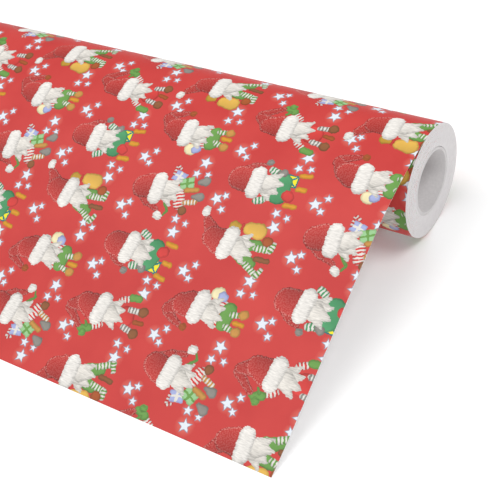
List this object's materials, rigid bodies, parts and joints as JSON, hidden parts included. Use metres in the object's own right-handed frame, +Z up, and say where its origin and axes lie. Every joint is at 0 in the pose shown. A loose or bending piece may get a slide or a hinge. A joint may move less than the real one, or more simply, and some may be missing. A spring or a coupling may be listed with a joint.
{
  "type": "wrapping paper roll",
  "caption": "Wide roll of printed gift wrap on a spirally wound board core, with its free end drawn off the top and laid down to the table.",
  "frame": {"origin": "on the roll's axis, halfway along the roll", "axes": "+X along the roll's axis towards the end that the free sheet's print starts from, -Y the way the free sheet runs, +Z up"},
  "size_m": [0.7, 0.2137, 0.0644],
  "materials": {
    "paper": "printed on one side, white on the back and along its cut edges, soft sheen",
    "core_board": "pale grey recycled board, matte",
    "glue": "translucent hot-melt glue"
  },
  "bodies": {
    "sheet": {"free_sheet": "paper"},
    "roll": {"core_inner_ply": "core_board", "core_middle_ply": "core_board", "core_outer_ply": "core_board", "starter_glue": "glue", "wound_paper": "paper"}
  },
  "joints": [
    {"name": "roll_spin", "type": "hinge", "parent": "sheet", "child": "roll", "pos_m": [0, 0, 0], "axis": [1, 0, 0], "continuous": true}
  ]
}
